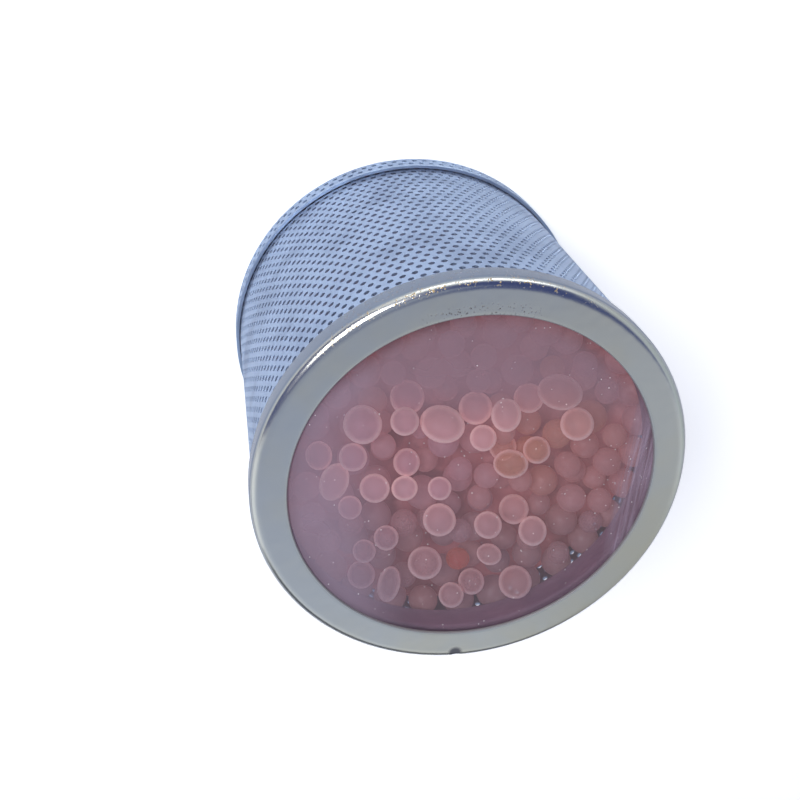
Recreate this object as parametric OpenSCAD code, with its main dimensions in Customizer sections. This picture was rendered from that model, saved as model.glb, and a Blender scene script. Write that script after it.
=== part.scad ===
// Desiccant cartridge: a perforated sheet-metal can with a clear window in its front cap,
// filled with silica gel beads. It stands on its rear cap with the window up, along +Z.
// All lengths are in millimetres.

/* [Cartridge] */
// Length from the rear face to the front face
cartridge_length = 48.5; // [34:0.5:90]
// Outside diameter of the front cap's skirt
cap_od = 54; // [44:0.5:80]
// Radial clearance between parts that slip into each other
slip_fit = 0.1; // [0.05:0.05:0.3]

/* [Front cap] */
// Thickness of the front cap's sheet
front_cap_sheet = 0.4; // [0.3:0.05:0.7]
// Width of the flat face round the window, with its rounded edge
face_ring_w = 4.4; // [3:0.1:7]
// Length of the skirt that grips the tube
front_skirt = 3.3; // [2:0.1:9]
// Radius of the rounded outer edge
front_corner_r = 1.1; // [0.9:0.1:2]
// Diameter of the stake mark punched into the rounded edge
stake_d = 1.4; // [0.8:0.1:2]
// Depth of the stake mark
stake_depth = 0.2; // [0.1:0.05:0.3]

/* [Window] */
// Thickness of the clear disc
window_t = 1.5; // [0.8:0.1:3]

/* [Window retainer] */
// Thickness of the retainer's sheet
retainer_sheet = 0.4; // [0.3:0.05:0.7]
// Length of its outer wall, which springs against the tube
retainer_grip = 2.6; // [1.5:0.1:5]
// Length of its inner collar, which holds the beads off the window's edge
collar_length = 3.4; // [2:0.1:8]
// How far the collar stands back from the edge of the face opening
collar_setback = 0.5; // [0.2:0.1:1]

/* [Perforated tube] */
// Thickness of the tube's sheet
tube_sheet = 0.5; // [0.3:0.05:0.8]
// Diameter of a hole
hole_d = 1.6; // [1:0.1:2]
// Distance between holes round the tube
hole_pitch = 2.97; // [2.6:0.01:6]
// Distance between staggered rows along the tube
row_pitch = 2.73; // [2.4:0.01:5]
// Plain sheet between a cap's edge and the nearest row of holes
plain_margin = 0.5; // [0.3:0.1:3]
// Width of the plain strip along the tube's butt seam
seam_strip_w = 4; // [2:0.5:8]
// Width of the groove between the seam's two edges
seam_groove_w = 0.2; // [0.1:0.05:0.5]
// Depth of that groove
seam_groove_depth = 0.15; // [0.05:0.05:0.25]

/* [Rear cap] */
// Thickness of the rear cap's sheet
rear_cap_sheet = 0.5; // [0.3:0.05:0.8]
// Length of its skirt over the tube
rear_skirt = 4.2; // [3.6:0.1:8]
// Radius of its rounded edge
rear_corner_r = 1; // [0.9:0.1:1.2]

/* [Desiccant] */
// Diameter of the smallest beads
bead_d_min = 3.2; // [3:0.1:4]
// Diameter of the largest beads
bead_d_max = 4.8; // [4.4:0.1:6]
// Number of beads dropped on the bed, of which those that find room stay
bead_count = 340; // [60:10:400]
// Depth of the top of the bed that is made of separate beads
bead_bed_depth = 8.2; // [7:0.2:12]
// Gap left between touching beads
bead_gap = 0.05; // [0.03:0.01:0.2]
// How far the dropped beads reach up inside the collar, behind those that stand out
collar_fill = 1.5; // [0:0.1:3]
// Gap between the bed and the tube's wall
bed_clearance = 0.3; // [0.1:0.05:0.5]
// Number that starts the random sizes and places of the beads
bead_seed = 7; // [1:1:99]

/* [Hidden] */
$fn = 96;
bead_fn = 24;
hole_fn = 24;
// Places tried for each bead before it stays at the lowest
bead_tries = 90;
// Smallest bead of the ring along the wall, as a share of the height that is free there
ring_least = 0.86;
// Turns in which a seen bead's place and height are fitted to each other
sight_turns = 4;
// How far a hole's cutter reaches past each face of a sheet
cutter_reach = 0.5;
// The seam and the stake mark lie on the -Y side
seam_angle = 270;
stake_angle = 272;
// Where the photograph was taken from: its place over the axis, and its height over the face
eye = [-32.6, 65.6];
eye_height = 99.9;
// Depth below the face of the plane on which the seen beads are given
seen_depth = 5;
// Beads that stand out in the photograph, the nearest first: [x, y, diameter] on that plane
seen_beads = [
    [-13.5, 6, 4.8], [-3.7, 6, 5], [4.2, 7.2, 4], [1.7, 4, 3.3], [-8.4, 6.4, 3.5], [0.2, 8.2, 4.2],
    [13.6, 5.9, 4.2], [-5.5, 3.1, 2.4], [-16.4, -2.1, 4.1], [-8.2, -18.2, 3.9], [4.9, -13.8, 3],
    [10.3, -10.2, 3.9], [7.3, -6.8, 4], [-7.5, -3.2, 3.2], [-2.5, -8.1, 4.3], [4.1, -9.1, 3.6],
    [-11.3, -3.1, 3.7], [10.6, 10.4, 5], [6.7, 9.6, 3.8], [8.7, 5.9, 4.5], [-2.5, 1.9, 4.3],
    [5.8, 0.2, 4], [4.4, 2.7, 3.6], [8.9, 2.2, 3.5], [12.3, 2.9, 3.9], [-7.6, 0.6, 3.5],
    [-18.5, 1.6, 3.6], [-14.5, 2, 3.5], [1.8, 0.5, 3.5], [-3, -3.3, 3], [-3.7, -14.9, 4.4],
    [-5.6, -19, 3.6], [-9.2, -10.7, 3.2], [-11.9, -12.7, 3], [-12, -16.5, 3.7], [-2.7, -18.7, 3.5],
    [0.5, -20.4, 3.4], [3, -18.2, 3.6], [5.3, -20.6, 3.7], [9.2, -18.6, 4.5], [-14.2, -5.9, 3],
    [-8.4, 9.7, 4.3]
];

// Radii that follow from the front cap
cap_r = cap_od / 2;
opening_r = cap_r - face_ring_w;
tube_r = cap_r - front_cap_sheet - slip_fit;

// The rolled tube has one flat for each hole of a row
holes_round = round(2 * PI * tube_r / hole_pitch);
flat_angle = 360 / holes_round;
bore_r = (tube_r - tube_sheet) * cos(flat_angle / 2);

// The rear cap slips over the tube
rear_bore_r = tube_r + slip_fit;
rear_cap_r = rear_bore_r + rear_cap_sheet;

// Heights, from the rear face up. The tube ends where the rounding of each cap starts.
tube_bottom_z = rear_corner_r;
tube_top_z = cartridge_length - front_corner_r;
window_z = cartridge_length - front_cap_sheet - window_t;
front_skirt_z = cartridge_length - front_skirt;

// Retainer, pressed up against the window
retainer_r = bore_r - slip_fit;
collar_r = opening_r + collar_setback;

// Bed of beads: separate beads on top of the closely packed charge
bed_r = bore_r - bed_clearance;
charge_top_z = window_z - bead_bed_depth;
fence_z = window_z - max(collar_length, retainer_grip);

// Rectangle from the axis to radius r, from height 0 to h, with its far top corner rounded
module rounded_half(r, h, corner) {
    union() {
        square([r - corner, h]);
        square([r, h - corner]);
        translate([r - corner, h - corner])
            circle(r = corner);
    }
}

// Half section of a pressed cap, opening downwards, its face at height h
module cap_section(r, h, sheet, corner) {
    difference() {
        rounded_half(r, h, corner);
        rounded_half(r - sheet, h - sheet, corner - sheet);
    }
}

// Pressed ring cap with a flat face, a rounded edge and a skirt over the tube's end
module front_cap() {
    color([0.72, 0.74, 0.73])
    difference() {
        translate([0, 0, front_skirt_z])
            rotate_extrude()
                difference() {
                    cap_section(cap_r, front_skirt, front_cap_sheet, front_corner_r);
                    translate([0, front_skirt - 2 * front_cap_sheet])
                        square([opening_r, 3 * front_cap_sheet]);
                }
        stake_mark();
    }
}

// Ball that leaves a round dimple in the middle of the rounded edge
module stake_mark() {
    ball_r = (pow(stake_d / 2, 2) + pow(stake_depth, 2)) / (2 * stake_depth);
    edge_r = cap_r - front_corner_r;
    edge_z = cartridge_length - front_corner_r;
    reach = front_corner_r + ball_r - stake_depth;
    rotate([0, 0, stake_angle])
        translate([edge_r + reach * cos(45), 0, edge_z + reach * sin(45)])
            sphere(r = ball_r);
}

// Clear disc behind the face ring
module window() {
    color([0.85, 0.92, 0.95, 0.35])
    translate([0, 0, window_z])
        cylinder(r = bore_r - slip_fit, h = window_t);
}

// Pressed channel ring: its web backs the window, its inner collar fences the beads
module window_retainer() {
    color([0.66, 0.67, 0.68])
    translate([0, 0, window_z])
        rotate_extrude()
            union() {
                translate([collar_r, -retainer_sheet])
                    square([retainer_r - collar_r, retainer_sheet]);
                translate([collar_r, -collar_length])
                    square([retainer_sheet, collar_length]);
                translate([retainer_r - retainer_sheet, -retainer_grip])
                    square([retainer_sheet, retainer_grip]);
            }
}

// Corners of a regular ring of flats, with a flat's middle on +X
function flats(r) = [
    for (i = [0 : holes_round - 1])
        r * [cos((i + 0.5) * flat_angle), sin((i + 0.5) * flat_angle)]
];

// Angle from one direction to another, from 0 to 180
function angle_between(a, b) = abs((a - b + 540) % 360 - 180);

// One row of holes through a sheet whose outside is at radius r, turned by half a pitch on
// odd rows, with none on the plain strip that reaches strip_angle to each side of the seam
module hole_row(r, sheet, z, row, strip_angle = -1) {
    for (i = [0 : holes_round - 1]) {
        direction = (i + (row % 2) / 2) * flat_angle;
        if (angle_between(direction, seam_angle) > strip_angle)
            rotate([0, 0, direction])
                translate([r - sheet - cutter_reach, 0, z])
                    rotate([0, 90, 0])
                        cylinder(d = hole_d, h = sheet + 2 * cutter_reach, $fn = hole_fn);
    }
}

// Fine groove where the rolled sheet's two edges meet
module seam_groove() {
    flat_r = tube_r * cos(flat_angle / 2);
    rotate([0, 0, seam_angle])
        translate([flat_r, 0, cartridge_length / 2])
            cube([2 * seam_groove_depth, seam_groove_w, cartridge_length], center = true);
}

// Rolled perforated sheet, its rows of holes staggered
module perforated_tube() {
    first_z = rear_skirt + plain_margin + hole_d / 2;
    last_z = front_skirt_z - plain_margin - hole_d / 2;
    row_count = floor((last_z - first_z) / row_pitch) + 1;
    strip_angle = asin((seam_strip_w + hole_d) / 2 / tube_r);
    color([0.60, 0.63, 0.66])
    difference() {
        translate([0, 0, tube_bottom_z])
            linear_extrude(tube_top_z - tube_bottom_z)
                difference() {
                    polygon(flats(tube_r));
                    polygon(flats(tube_r - tube_sheet));
                }
        for (row = [0 : row_count - 1])
            hole_row(tube_r, tube_sheet, last_z - row * row_pitch, row, strip_angle);
        seam_groove();
    }
}

// Shallow cup of the same perforated sheet, pushed over the tube's rear end
module rear_cap() {
    end_hole_r = rear_cap_r - rear_corner_r - plain_margin - hole_d / 2;
    end_rows = floor(end_hole_r / row_pitch);
    end_columns = ceil(end_hole_r / hole_pitch) + 1;
    skirt_row_z = (rear_corner_r + rear_skirt) / 2;
    color([0.58, 0.61, 0.64])
    difference() {
        translate([0, 0, rear_skirt])
            mirror([0, 0, 1])
                rotate_extrude()
                    cap_section(rear_cap_r, rear_skirt, rear_cap_sheet, rear_corner_r);
        hole_row(rear_cap_r, rear_cap_sheet, skirt_row_z, 0);
        for (row = [-end_rows : end_rows], column = [-end_columns : end_columns]) {
            place = [(column + abs(row % 2) / 2) * hole_pitch, row * row_pitch];
            if (norm(place) <= end_hole_r)
                translate([place.x, place.y, -cutter_reach])
                    cylinder(d = hole_d, h = rear_cap_sheet + 2 * cutter_reach, $fn = hole_fn);
        }
    }
}

// Where the line of sight through place p on the seen beads' plane meets height z
function in_sight(p, z) =
    let (share = (eye_height + cartridge_length - z) / (eye_height + seen_depth))
        eye + share * ([p.x, p.y] - eye);

// Widest radius at which a bead's middle may lie at height z: under the retainer or inside it
function wall_radius(z, r) =
    (z + r > fence_z - bead_gap ? collar_r - bead_gap : bed_r) - r;

// Greatest height of a bead of radius r at place p: against the window, or under the lowest
// bead above it. A bead is [x, y, z, r].
function highest(p, r, beads) = min([
    window_z - bead_gap - r,
    for (b = beads)
        let (reach = r + b[3] + bead_gap, away = norm([p.x - b.x, p.y - b.y]))
            if (away < reach) b.z - sqrt(reach * reach - away * away)
]);

// Least height of such a bead: on the charge, or on the highest bead below it
function lowest(p, r, beads) = max([
    charge_top_z + bead_gap + r,
    for (b = beads)
        let (reach = r + b[3] + bead_gap, away = norm([p.x - b.x, p.y - b.y]))
            if (away < reach) b.z + sqrt(reach * reach - away * away)
]);

// A place drawn in to radius limit, where it lies further out
function drawn_in(p, limit) = norm(p) > limit ? p * limit / norm(p) : p;

// A seen bead held up under those in front of it, its place and its height found in turns
function held_up(seen, r, beads, z, turns) =
    let (
        p = drawn_in(in_sight(seen, z), wall_radius(z, r)),
        height = highest(p, r, beads)
    )
    turns == 0 ? [p.x, p.y, height, r] : held_up(seen, r, beads, height, turns - 1);

// The seen beads that find room, bead after bead
function seen_heap(k = 0, beads = []) =
    k >= len(seen_beads) ? beads
    : let (
        r = seen_beads[k][2] / 2,
        bead = held_up(seen_beads[k], r, beads, cartridge_length - seen_depth, sight_turns),
        room = bead.z - r >= charge_top_z + bead_gap
    )
    seen_heap(k + 1, room ? concat(beads, [bead]) : beads);

// Ring of beads along the tube's wall that fill the height between the charge and the retainer,
// without those that would touch a seen bead
function wall_ring(seen) =
    let (
        widest = (fence_z - charge_top_z) / 2 - bead_gap,
        count = floor(180 / asin((widest + bead_gap / 2) / (bed_r - widest))),
        sizes = rands(ring_least, 1, count, bead_seed)
    )
    [
        for (i = [0 : count - 1])
            let (
                r = widest * sizes[i],
                p = (bed_r - r) * [cos(360 * i / count), sin(360 * i / count)],
                z = charge_top_z + bead_gap + r
            )
            if (z <= highest(p, r, seen)) [p.x, p.y, z, r]
    ];

// The lowest of several tried places, as [x, y, z, r]
function lowest_place(places, i = 1, best = 0) =
    i >= len(places) ? places[best]
    : lowest_place(places, i + 1, places[i].z < places[best].z ? i : best);

// One bead dropped behind the seen beads, at the lowest of its tried places
function dropped(k, seen, beads) =
    let (
        limit = fence_z + collar_fill,
        draws = rands(0, 1, 2 * bead_tries + 1, bead_seed * 1000 + k),
        r = (bead_d_min + (bead_d_max - bead_d_min) * pow(draws[0], 1.6)) / 2,
        places = [
            for (t = [1 : bead_tries])
                let (
                    angle = 360 * draws[2 * t - 1],
                    away = (bed_r - r) * sqrt(draws[2 * t]),
                    p = away * [cos(angle), sin(angle)],
                    z = lowest(p, r, beads)
                )
                if (z + r <= limit && away <= wall_radius(z, r) && z <= highest(p, r, seen))
                    [p.x, p.y, z, r]
        ]
    )
    len(places) == 0 ? [] : [lowest_place(places)];

// The beads behind the seen ones, the ring along the wall first, bead after bead
function deep_heap(seen, beads, k = 0) =
    k >= bead_count ? beads : deep_heap(seen, concat(beads, dropped(k, seen, beads)), k + 1);

// The whole heap
function heap() = let (seen = seen_heap()) concat(seen, deep_heap(seen, wall_ring(seen)));

// Loose silica gel beads that show behind the window
module desiccant_beads() {
    color([0.86, 0.52, 0.44])
    for (b = heap())
        translate([b.x, b.y, b.z])
            sphere(r = b[3], $fn = bead_fn);
}

// Rest of the bed, closely packed beads taken as one body
module desiccant_charge() {
    color([0.80, 0.46, 0.40])
    translate([0, 0, rear_cap_sheet])
        cylinder(r = bed_r, h = charge_top_z - rear_cap_sheet);
}

front_cap();
window();
window_retainer();
perforated_tube();
rear_cap();
desiccant_beads();
desiccant_charge();
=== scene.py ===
"""Desiccant cartridge: a can of perforated sheet with a clear window in its bright front cap.

Pink silica gel beads show behind the window. The cartridge stands on its rear cap with the
window up, along +Z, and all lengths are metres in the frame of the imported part.
"""

import logging
import math
from abc import ABC, abstractmethod
from collections.abc import Callable, Iterable, Mapping, Sequence
from dataclasses import dataclass, field
from enum import Enum

import bmesh
import bpy
import numpy as np
from mathutils import Matrix, Vector
from mathutils.geometry import delaunay_2d_cdt


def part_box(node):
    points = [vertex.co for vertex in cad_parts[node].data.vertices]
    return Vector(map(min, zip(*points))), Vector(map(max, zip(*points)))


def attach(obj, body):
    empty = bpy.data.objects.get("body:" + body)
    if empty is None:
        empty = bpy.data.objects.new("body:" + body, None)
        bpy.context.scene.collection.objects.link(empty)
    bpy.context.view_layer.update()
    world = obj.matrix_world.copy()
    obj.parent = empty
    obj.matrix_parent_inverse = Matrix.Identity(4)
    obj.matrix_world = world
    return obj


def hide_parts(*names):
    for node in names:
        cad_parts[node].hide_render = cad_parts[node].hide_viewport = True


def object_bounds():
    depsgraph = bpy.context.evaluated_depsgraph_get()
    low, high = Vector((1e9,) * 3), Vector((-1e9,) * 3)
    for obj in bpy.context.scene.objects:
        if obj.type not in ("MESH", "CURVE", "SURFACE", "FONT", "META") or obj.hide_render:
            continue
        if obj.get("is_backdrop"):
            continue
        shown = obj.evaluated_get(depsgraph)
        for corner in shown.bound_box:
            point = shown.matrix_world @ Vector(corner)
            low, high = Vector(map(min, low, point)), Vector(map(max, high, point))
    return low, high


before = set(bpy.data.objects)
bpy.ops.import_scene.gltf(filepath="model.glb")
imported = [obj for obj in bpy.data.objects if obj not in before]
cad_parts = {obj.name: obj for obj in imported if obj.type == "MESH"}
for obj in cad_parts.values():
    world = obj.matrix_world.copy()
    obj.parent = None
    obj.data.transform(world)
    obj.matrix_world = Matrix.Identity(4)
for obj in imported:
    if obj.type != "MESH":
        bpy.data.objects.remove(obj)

CAD_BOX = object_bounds()
MM = 0.001
Triple = tuple[float, float, float]
Colour = Triple
Point = tuple[float, float]
Faces = list[tuple[int, ...]]
BLACK: Colour = (0.0, 0.0, 0.0)
WHITE: Colour = (1.0, 1.0, 1.0)
WHOLE_HULL = 0
CLOSE = 1e-9
log = logging.getLogger("cartridge")


class Grain(Enum):
    """Direction of the fine lines in a rolled or drawn sheet."""

    ROUND = "round"
    ALONG = "along"


# Shader maths


@dataclass(frozen=True)
class Value:
    """An output socket of a node tree. Operators on it add Math nodes."""

    tree: "NodeTree"
    socket: bpy.types.NodeSocket | None

    def math(self, operation: str, *values: "Value | float") -> "Value":
        """Adds one Math node on the given values."""
        return self.tree.node("ShaderNodeMath", {"operation": operation}, dict(enumerate(values)))

    def __add__(self, other: "Value | float") -> "Value":
        """Sum of both values."""
        return self.math("ADD", self, other)

    __radd__ = __add__

    def __sub__(self, other: "Value | float") -> "Value":
        """This value less the other."""
        return self.math("SUBTRACT", self, other)

    def __rsub__(self, other: "Value | float") -> "Value":
        """The other value less this one."""
        return self.math("SUBTRACT", other, self)

    def __mul__(self, other: "Value | float") -> "Value":
        """Product of both values."""
        return self.math("MULTIPLY", self, other)

    __rmul__ = __mul__

    def __truediv__(self, other: "Value | float") -> "Value":
        """This value divided by the other."""
        return self.math("DIVIDE", self, other)

    def __rtruediv__(self, other: "Value | float") -> "Value":
        """The other value divided by this one."""
        return self.math("DIVIDE", other, self)

    def __abs__(self) -> "Value":
        """Size of the value without its sign."""
        return self.math("ABSOLUTE", self)

    def smooth(self, low: float, high: float) -> "Value":
        """Soft step from 0 at low to 1 at high.

        Args:
            low: Value at which the step starts. It may lie above high, for a falling step.
            high: Value at which the step ends.

        Returns:
            The step, from 0 to 1.
        """
        falling = low > high
        ends = {1: min(low, high), 2: max(low, high), 3: float(falling), 4: float(not falling)}
        return self.tree.node(
            "ShaderNodeMapRange", {"interpolation_type": "SMOOTHSTEP"}, {0: self, **ends}
        )


class NodeTree:
    """Node tree of a material or the world, emptied first."""

    def __init__(self, owner: bpy.types.Material | bpy.types.World) -> None:
        """Takes over the owner's node tree.

        Args:
            owner: Material or world whose nodes are made.
        """
        owner.use_nodes = True
        self.nodes = owner.node_tree.nodes
        self.links = owner.node_tree.links
        self.nodes.clear()

    def node(
        self,
        kind: str,
        settings: Mapping[str, object] | None = None,
        inputs: Mapping[int | str, object] | None = None,
        output: int | str = 0,
    ) -> Value:
        """Adds a node, sets it up and links or sets its inputs.

        Args:
            kind: Type of the node.
            settings: Properties to set first. The stops of a colour ramp are "stops", a list of
                places with their colours.
            inputs: Links or plain values for the inputs, by index or name.
            output: Index or name of the output to hand back.

        Returns:
            The chosen output, without a socket where the node has no outputs.
        """
        made = self.nodes.new(kind)
        for name, value in (settings or {}).items():
            if name == "stops":
                self._set_stops(made.color_ramp, value)
            else:
                setattr(made, name, value)
        for key, value in (inputs or {}).items():
            if isinstance(value, Value):
                self.links.new(value.socket, made.inputs[key])
            else:
                made.inputs[key].default_value = value
        return Value(self, made.outputs[output] if made.outputs else None)

    @staticmethod
    def _set_stops(ramp: bpy.types.ColorRamp, stops: Sequence[tuple[float, Colour]]) -> None:
        """Gives a colour ramp its stops.

        Args:
            ramp: Ramp of the new node, with its two first stops.
            stops: Places from 0 to 1 with their colours.
        """
        while len(ramp.elements) < len(stops):
            ramp.elements.new(1.0)
        for element, (place, colour) in zip(ramp.elements, stops):
            element.position = place
            element.color = (*colour, 1.0)

    def mix(self, factor: Value | float, a: Value | Colour, b: Value | Colour) -> Value:
        """Colour between two colours.

        Args:
            factor: Share of the second colour.
            a: First colour.
            b: Second colour.

        Returns:
            The mixed colour.
        """
        a, b = (c if isinstance(c, Value) else (*c, 1.0) for c in (a, b))
        settings = {"data_type": "RGBA"}
        return self.node("ShaderNodeMix", settings, {0: factor, 6: a, 7: b}, output=2)

    def layers(
        self, colour: Value | Colour, *others: tuple[Value | float, Value | Colour]
    ) -> Value | Colour:
        """A colour with others laid over it in turn.

        Args:
            colour: The lowest colour.
            others: The mask of each of the others with its colour.

        Returns:
            The colour that shows.
        """
        for mask, other in others:
            colour = self.mix(mask, colour, other)
        return colour

    def scaled(self, vector: Value, scale: Triple) -> Value:
        """A vector times another, axis by axis."""
        return self.node("ShaderNodeVectorMath", {"operation": "MULTIPLY"}, {0: vector, 1: scale})

    def place(self) -> Value:
        """Place of the shaded point in the part's own frame."""
        return self.node("ShaderNodeTexCoord", output="Object")

    def axes(self, vector: Value) -> tuple[Value, Value, Value]:
        """The three parts of a vector."""
        outputs = self.node("ShaderNodeSeparateXYZ", inputs={0: vector}).socket.node.outputs
        return Value(self, outputs[0]), Value(self, outputs[1]), Value(self, outputs[2])

    def angle(self) -> Value:
        """Angle of the shaded point about the axis, from +X, in degrees."""
        x, y, _ = self.axes(self.place())
        return x.math("ARCTAN2", y, x) * math.degrees(1.0)

    def away(self, spot: Point = (0.0, 0.0)) -> Value:
        """Distance in plan of the shaded point from a spot.

        Args:
            spot: The spot, which is the axis where none is given.

        Returns:
            The distance in metres.
        """
        x, y, _ = self.axes(self.place())
        x, y = x - spot[0], y - spot[1]
        return x.math("SQRT", x * x + y * y)

    def joined(self, x: Value | float, y: Value | float, z: Value | float) -> Value:
        """A vector of three values."""
        return self.node("ShaderNodeCombineXYZ", inputs={0: x, 1: y, 2: z})

    def noise(self, vector: Value, size: float, detail: float = 2.0) -> Value:
        """Soft random pattern from 0 to 1.

        Args:
            vector: Place on the surface.
            size: Size of a blot, in the vector's units.
            detail: How many finer layers lie on top.

        Returns:
            The pattern, around one half.
        """
        inputs = {"Vector": vector, "Scale": 1.0 / size, "Detail": detail}
        return self.node("ShaderNodeTexNoise", inputs=inputs)

    def dots(self, vector: Value, size: float) -> Value:
        """Distance to the nearest of many scattered points, as a share of their spacing."""
        inputs = {"Vector": vector, "Scale": 1.0 / size}
        return self.node("ShaderNodeTexVoronoi", inputs=inputs)

    def bump(self, height: Value, depth: float) -> Value:
        """Normal of a surface with fine relief.

        Args:
            height: Relief from 0 to 1.
            depth: Its depth in metres.

        Returns:
            The changed normal.
        """
        inputs = {"Height": height, "Distance": depth, "Strength": 1.0}
        return self.node("ShaderNodeBump", inputs=inputs)

    def attribute(self, name: str) -> Value:
        """A number that the mesh holds at each of its points."""
        return self.node("ShaderNodeAttribute", {"attribute_name": name}, output="Fac")

    def facing(self) -> Value:
        """How far the surface turns away from the eye, from 0 to 1."""
        return self.node("ShaderNodeLayerWeight", inputs={"Blend": 0.5}, output="Facing")

    def looked_at(self) -> Value:
        """1 where the camera looks straight at the point, 0 in mirrored or bounced light."""
        return self.node("ShaderNodeLightPath", output="Is Camera Ray")

    def show(self, shader: Value, kind: str = "ShaderNodeOutputMaterial") -> None:
        """Makes a shader the surface of the material or, with another kind, the world."""
        self.node(kind, inputs={"Surface": shader})

    def principled(self, inputs: Mapping[int | str, object]) -> Value:
        """The main shader with the given inputs."""
        return self.node("ShaderNodeBsdfPrincipled", inputs=inputs)


# Finishes


class Finish(ABC):
    """A surface finish that makes its own material."""

    name: str

    def material(self) -> bpy.types.Material:
        """The finish's material, made on its first use.

        Returns:
            The material.
        """
        known = bpy.data.materials.get(self.name)
        if known is None:
            known = bpy.data.materials.new(self.name)
            tree = NodeTree(known)
            tree.show(self.shader(tree))
        return known

    @abstractmethod
    def shader(self, tree: NodeTree) -> Value:
        """Builds the finish's nodes.

        Args:
            tree: Empty node tree of the new material.

        Returns:
            The finish's shader.
        """


@dataclass(frozen=True)
class Tinplate(Finish):
    """Bright tin-plated sheet with golden specks along its edge, a few dark pits and some painted
    shade.
    """

    name: str = "bright_tinplate"
    colour: Colour = (0.66, 0.68, 0.66)
    warm: Colour = (0.70, 0.69, 0.60)
    gold: Colour = (0.42, 0.25, 0.05)
    pit: Colour = (0.05, 0.05, 0.06)
    # The skirt below the rounded edge takes a darker blue-grey colour: painted shade that dims its
    # bright reflection.
    side: Colour = (0.30, 0.35, 0.42)
    roughness: float = 0.15
    edge_r: float = 26.5 * MM
    opening_r: float = 22.6 * MM
    skirt_shade_z: float = 47.75 * MM
    skirt_shade_fade: float = 0.3 * MM
    specks_at: float = 102.0
    specks_span: Point = (44.0, 20.0)
    specks_band: Point = (0.7 * MM, 0.1 * MM)
    pits_at: float = 94.0
    pits_span: Point = (20.0, 8.0)
    pits_from: float = 0.7 * MM
    pits_band: Point = (1.0 * MM, 0.2 * MM)
    # A dark patch in the stake mark's dent: painted shade.
    stain: Colour = (0.06, 0.06, 0.085)
    stake_shade_at: Point = (0.6 * MM, -25.95 * MM)
    stake_shade_span: Point = (1.25 * MM, 0.65 * MM)
    # The opening's cut edge is darker, rougher and less metallic: partly dull cut steel, partly
    # painted shade that hides its bright reflection.
    lip_shade: Colour = (0.20, 0.19, 0.21)
    lip_from: float = 0.16 * MM
    lip_to: float = 0.08 * MM

    def shader(self, tree: NodeTree) -> Value:
        """Builds the finish's nodes.

        Args:
            tree: Empty node tree of the new material.

        Returns:
            The finish's shader.
        """
        place = tree.place()
        angle, radius, height = tree.angle(), tree.away(), tree.axes(place)[2]
        cloud = tree.noise(place, 11 * MM, 3.0)
        grain = tree.noise(tree.scaled(place, (1.0, 0.03, 1.0)), 0.05 * MM)
        waves = tree.noise(place, 2.2 * MM, 1.0)
        edge = abs(radius - self.edge_r).smooth(*self.specks_band)
        near_specks = abs(angle - self.specks_at).smooth(*self.specks_span)
        crumbs = tree.dots(place, 0.28 * MM).smooth(0.42, 0.26)
        some = tree.noise(place, 0.6 * MM, 0.0).smooth(0.50, 0.58)
        specks = edge * near_specks * crumbs * some
        near_pits = abs(angle - self.pits_at).smooth(*self.pits_span)
        inside = abs(radius - self.opening_r - self.pits_from).smooth(*self.pits_band)
        pits = tree.dots(place, 0.30 * MM).smooth(0.42, 0.20) * near_pits * inside
        pits = pits * tree.noise(place, 0.5 * MM, 0.0).smooth(0.44, 0.56)
        # Dark cut edge round the opening: partly dull steel, partly painted shade.
        lip_shade = radius.smooth(self.opening_r + self.lip_from, self.opening_r + self.lip_to)
        # Painted shade in the stake mark's dent, darker and less metallic than the sheet.
        stake_shade = tree.away(self.stake_shade_at) + waves * (0.2 * MM)
        stake_shade = stake_shade.smooth(*self.stake_shade_span) * 0.9
        colour = tree.layers(
            self.colour,
            (cloud.smooth(0.35, 0.75), self.warm),
            # Painted shade on the skirt.
            (height.smooth(self.skirt_shade_z + self.skirt_shade_fade, self.skirt_shade_z), self.side),
            (lip_shade * 0.8, self.lip_shade),
            (stake_shade, self.stain),
            (specks, self.gold),
            (pits, self.pit),
        )
        relief = waves * 0.5 + grain * 0.06 + specks * 0.2 - pits * 0.5
        rough = self.roughness + cloud * 0.10 + grain * 0.05 + specks * 0.3 + lip_shade * 0.3
        return tree.principled(
            {
                "Base Color": colour,
                "Metallic": 1.0 - specks * 0.75 - pits - stake_shade * 0.6 - lip_shade * 0.5,
                "Roughness": rough,
                "Normal": tree.bump(relief, 0.05 * MM),
            }
        )


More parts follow.
